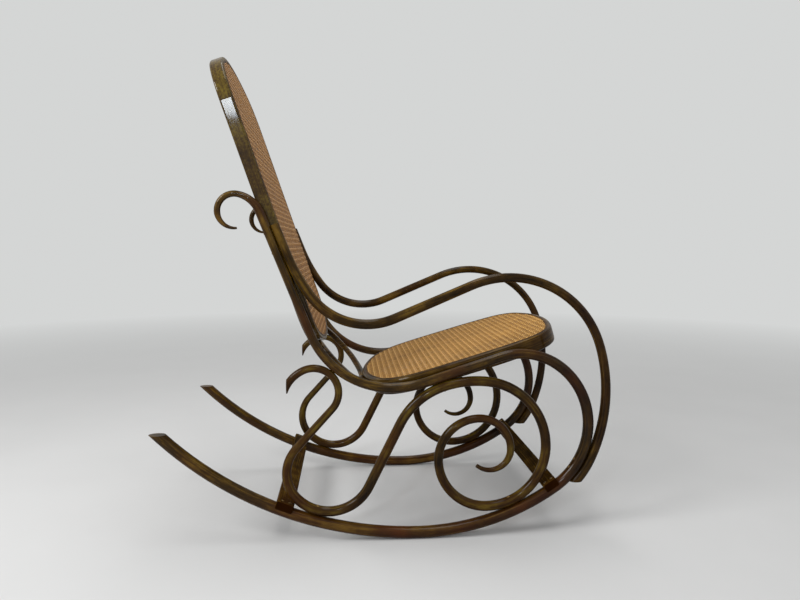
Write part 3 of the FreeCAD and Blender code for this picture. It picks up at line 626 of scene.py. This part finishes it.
def make_floor(radius=14.0, sides=96):
    """A round floor: corners at radius * (cos a, sin a), closed by one face."""
    angle = np.linspace(0, 2 * np.pi, sides, endpoint=False)
    corners = np.stack([radius * np.cos(angle), radius * np.sin(angle), 0 * angle], axis=1)
    mesh = bpy.data.meshes.new("floor")
    mesh.from_pydata(corners.tolist(), [], [list(range(sides))])
    floor = bpy.data.objects.new("floor", mesh)
    bpy.context.scene.collection.objects.link(floor)
    made, maker = material("pale_floor")
    here = maker.node("ShaderNodeTexCoord", output="Object")
    distance = maker.node("ShaderNodeVectorMath", {"operation": "LENGTH"}, {0: here}, output="Value")
    grey = maker.noise(here, 3.0, detail=4.0)
    darker = tuple(0.97 * part for part in FLOOR_COLOUR)
    colour = maker.ramp(grey, [(0.3, darker), (0.7, FLOOR_COLOUR)])
    colour = maker.mix(seen(maker), WARM_BOUNCE, colour)
    matt = maker.node("ShaderNodeBsdfPrincipled", {}, {"Base Color": colour, "Roughness": 0.6})
    glow = maker.node("ShaderNodeEmission", {}, {"Color": BACKDROP, "Strength": 1.0})
    fade = maker.node("ShaderNodeMixShader", {}, {0: distance.step(1.6, 5.0), 1: matt, 2: glow})
    maker.node("ShaderNodeOutputMaterial", {}, {"Surface": fade})
    wear(floor, made)


def make_world(light_strength=0.44):
    """A plain world: the backdrop's colour where it is seen, a milder white as light."""
    world = bpy.data.worlds.new("daylight")
    bpy.context.scene.world = world
    world.use_nodes = True
    maker = Maker(world.node_tree)
    light = maker.node("ShaderNodeBackground", {}, {"Color": (1, 1, 1, 1), "Strength": light_strength})
    shown = maker.node("ShaderNodeBackground", {}, {"Color": BACKDROP, "Strength": 1.0})
    both = maker.node("ShaderNodeMixShader", {}, {0: seen(maker), 1: light, 2: shown})
    maker.node("ShaderNodeOutputWorld", {}, {"Surface": both})


make_floor()
make_world()
print("floor and world colours", FLOOR_COLOUR, BACKDROP[:3])

# %% [markdown]
# ## Lamps
# Glossy dark rods show their light more than their colour, so the lamps are soft and few: a large
# window behind the sitter, one pane of it that shows as a bright patch on the back ring, a weak lamp
# in front and a long one above, which draws a soft line along the tops of the rods.


# %% Lamps
def lamp(name, place, target, width, height, power, colour=(1.0, 1.0, 1.0)):
    """A soft oval lamp at a place, facing a target; sizes in metres, power in watts."""
    data = bpy.data.lights.new(name, "AREA")
    data.shape = "ELLIPSE"
    data.size = width
    data.size_y = height
    data.energy = power
    data.color = colour
    made = bpy.data.objects.new(name, data)
    bpy.context.scene.collection.objects.link(made)
    from_lamp = np.array(target) - np.array(place)
    heading = math.atan2(from_lamp[0], -from_lamp[1])
    drop = math.atan2(math.hypot(from_lamp[0], from_lamp[1]), -from_lamp[2])
    made.location = place
    made.rotation_euler = (drop, 0.0, heading + math.pi)


chair_middle = (0.0, 0.0, 0.5)
lamp("window", (-2.1, -1.35, 2.1), chair_middle, 1.1, 1.1, 48.0)
lamp("window_pane", (-0.77, -2.66, 1.56), (-0.32, -0.24, 1.0), 0.27, 0.25, 8.5, (0.85, 0.93, 1.0))
lamp("room", (2.4, -1.6, 1.8), chair_middle, 1.6, 1.6, 3.0)
lamp("ceiling", (0.1, 0.0, 2.9), chair_middle, 3.4, 0.9, 32.0)

# %% [markdown]
# ## Camera
# The two side frames are flat and parallel, and most of both is seen, so the near and the far one
# together fix the lens, the place and the angles of the camera. The place is given from the point
# where the chair meets the floor, because that is the easiest one to find again.

# %% Camera
camera_lens = 28.8                   # millimetres, for a sensor 36 mm wide
camera_offset = (-0.1614, -1.690, 0.6841)   # from the point where the chair meets the floor
camera_turn = math.radians(4.56)     # towards the front
camera_pitch = math.radians(4.94)    # downwards

camera_data = bpy.data.cameras.new("camera")
camera_data.lens = camera_lens
camera_data.sensor_width = 36.0
camera = bpy.data.objects.new("camera", camera_data)
bpy.context.scene.collection.objects.link(camera)
camera.location = floor_contact + np.array(camera_offset)
camera.rotation_euler = (math.pi / 2 - camera_pitch, 0.0, -camera_turn)
bpy.context.scene.camera = camera
bpy.context.scene.view_settings.view_transform = "Standard"
print("camera at", [round(value, 3) for value in camera.location])
